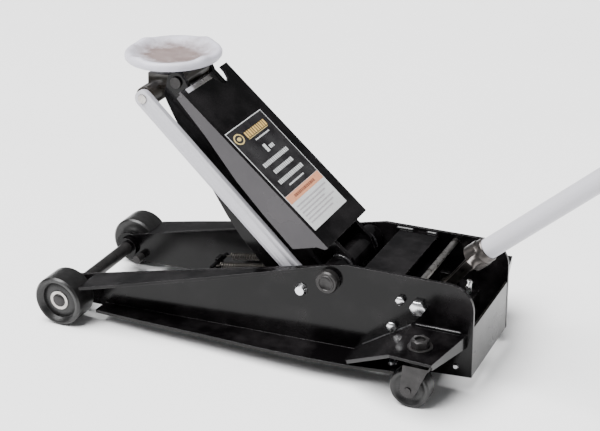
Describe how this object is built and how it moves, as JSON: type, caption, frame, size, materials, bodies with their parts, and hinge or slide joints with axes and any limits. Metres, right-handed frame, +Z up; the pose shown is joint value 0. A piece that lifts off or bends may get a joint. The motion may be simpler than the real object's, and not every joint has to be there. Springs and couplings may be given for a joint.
{
  "type": "hydraulic floor jack",
  "caption": "Low black trolley jack on wheels: pressed side plates, raised lifting arm with a round dished saddle, parallel links and a long white pump handle.",
  "frame": {"origin": "middle of the overall footprint, at floor level", "axes": "+X from the front wheels towards the handle's end, +Y across to the jack's right side, +Z up"},
  "size_m": [1.4624, 0.382, 0.8416],
  "materials": {
    "gloss_black_paint": "gloss, slightly worn edges",
    "white_paint": "gloss",
    "cast_saddle": "pale painted casting, worn in the dish",
    "zinc_plate": "bright zinc plate",
    "black_oxide": "dark, satin",
    "wheel_iron": "dark, satin",
    "bright_steel": "machined, lightly oiled",
    "rubber_grip": "matte"
  },
  "bodies": {
    "frame": {"side_plate_left": "gloss_black_paint", "side_plate_right": "gloss_black_paint", "caster_bracket_left": "gloss_black_paint", "caster_bracket_right": "gloss_black_paint", "front_axle": "bright_steel", "axle_collar_left": "gloss_black_paint", "axle_collar_right": "gloss_black_paint", "front_stop_stud": "bright_steel", "rear_cover": "gloss_black_paint", "cover_screw_left": "zinc_plate", "cover_screw_right": "zinc_plate", "top_cover": "gloss_black_paint", "tie_rod": "bright_steel", "spring_anchor": "gloss_black_paint", "power_unit": "gloss_black_paint", "unit_bolt_left_1": "zinc_plate", "unit_bolt_left_2": "zinc_plate", "unit_bolt_left_3": "zinc_plate", "unit_bolt_left_4": "zinc_plate", "unit_bolt_right_1": "zinc_plate", "flange_bolt_left": "zinc_plate", "flange_bolt_right": "zinc_plate", "arm_shaft": "bright_steel", "arm_nut_left": "black_oxide", "arm_nut_right": "black_oxide", "link_bolt_left": "zinc_plate", "link_bolt_right": "zinc_plate", "handle_pin": "bright_steel", "return_spring_left": "black_oxide", "return_spring_right": "black_oxide"},
    "lift_arm": {"arm_side_left": "gloss_black_paint", "arm_side_right": "gloss_black_paint", "arm_cover": "gloss_black_paint", "arm_hub": "gloss_black_paint", "ram_pin": "bright_steel", "spring_pin": "bright_steel", "saddle_pin": "black_oxide"},
    "link_left": {"radius_link_left": "white_paint"},
    "link_right": {"radius_link_right": "white_paint"},
    "saddle_carrier": {"saddle_bracket": "gloss_black_paint", "link_pin": "bright_steel"},
    "saddle_pad": {"saddle": "cast_saddle"},
    "wheel_left": {"front_wheel_left": "wheel_iron", "wheel_bearing_left": "bright_steel"},
    "wheel_right": {"front_wheel_right": "wheel_iron", "wheel_bearing_right": "bright_steel"},
    "caster_left": {"caster_fork_left": "black_oxide", "kingpin_nut_left": "black_oxide", "caster_axle_left": "black_oxide"},
    "caster_right": {"caster_fork_right": "black_oxide", "kingpin_nut_right": "black_oxide", "caster_axle_right": "black_oxide"},
    "roller_left": {"caster_wheel_left": "wheel_iron"},
    "roller_right": {"caster_wheel_right": "wheel_iron"},
    "handle_collar": {"handle_socket": "bright_steel"},
    "handle": {"handle_tube": "white_paint", "handle_grip": "rubber_grip"},
    "pump": {"pump_plunger": "bright_steel"},
    "ram": {"ram_piston": "bright_steel"},
    "valve": {"release_valve": "zinc_plate"}
  },
  "joints": [
    {"name": "arm_lift", "type": "hinge", "parent": "frame", "child": "lift_arm", "pos_m": [-0.23557, 0, 0.1431], "axis": [0, 1, 0], "range_deg": [-49, 12], "deforming": ["return_spring_left", "return_spring_right"]},
    {"name": "link_left_turn", "type": "hinge", "parent": "frame", "child": "link_left", "pos_m": [-0.28197, -0.0661, 0.1185], "axis": [0, 1, 0], "range_deg": [-49.1, 12.1]},
    {"name": "link_right_turn", "type": "hinge", "parent": "frame", "child": "link_right", "pos_m": [-0.28197, 0.0661, 0.1185], "axis": [0, 1, 0], "range_deg": [-49.1, 12.1]},
    {"name": "saddle_level", "type": "hinge", "parent": "lift_arm", "child": "saddle_carrier", "pos_m": [-0.50493, 0, 0.40687], "axis": [0, 1, 0], "range_deg": [-12.1, 49.1]},
    {"name": "saddle_swivel", "type": "hinge", "parent": "saddle_carrier", "child": "saddle_pad", "pos_m": [-0.53317, 0, 0.44], "axis": [0, 0, 1], "continuous": true},
    {"name": "wheel_left_spin", "type": "hinge", "parent": "frame", "child": "wheel_left", "pos_m": [-0.68917, -0.123, 0.042], "axis": [0, 1, 0], "continuous": true},
    {"name": "wheel_right_spin", "type": "hinge", "parent": "frame", "child": "wheel_right", "pos_m": [-0.68917, 0.123, 0.042], "axis": [0, 1, 0], "continuous": true},
    {"name": "caster_left_swivel", "type": "hinge", "parent": "frame", "child": "caster_left", "pos_m": [-0.06717, -0.1465, 0.084], "axis": [0, 0, 1], "continuous": true},
    {"name": "caster_left_roll", "type": "hinge", "parent": "caster_left", "child": "roller_left", "pos_m": [-0.07867, -0.1465, 0.0308], "axis": [0, 1, 0], "continuous": true},
    {"name": "caster_right_swivel", "type": "hinge", "parent": "frame", "child": "caster_right", "pos_m": [-0.06717, 0.1465, 0.084], "axis": [0, 0, 1], "continuous": true},
    {"name": "caster_right_roll", "type": "hinge", "parent": "caster_right", "child": "roller_right", "pos_m": [-0.07867, 0.1465, 0.0308], "axis": [0, 1, 0], "continuous": true},
    {"name": "handle_pump", "type": "hinge", "parent": "frame", "child": "handle_collar", "pos_m": [-0.08767, 0, 0.112], "axis": [0, 1, 0], "range_deg": [-25, 20]},
    {"name": "handle_twist", "type": "hinge", "parent": "handle_collar", "child": "handle", "pos_m": [-0.02777, 0, 0.1878], "axis": [0.7593, 0, 0.6508], "range_deg": [-90, 90]},
    {"name": "pump_stroke", "type": "slide", "parent": "frame", "child": "pump", "axis": [1, 0, 0], "range_m": [-0.004, 0.0036]},
    {"name": "ram_stroke", "type": "slide", "parent": "frame", "child": "ram", "axis": [1, 0, 0], "range_m": [-0.0152, 0.0615]},
    {"name": "valve_turn", "type": "hinge", "parent": "frame", "child": "valve", "pos_m": [-0.04417, 0, 0.128], "axis": [0, 0, 1], "range_deg": [-91, 91]}
  ],
  "couplings": [
    {"joint": "link_left_turn", "follows": "arm_lift", "ratio": 1},
    {"joint": "link_right_turn", "follows": "arm_lift", "ratio": 1},
    {"joint": "saddle_level", "follows": "arm_lift", "ratio": -1},
    {"joint": "ram_stroke", "follows": "arm_lift", "m_per_rad": -0.0716},
    {"joint": "pump_stroke", "follows": "handle_pump", "m_per_rad": -0.008},
    {"joint": "valve_turn", "follows": "handle_twist", "ratio": 1}
  ]
}
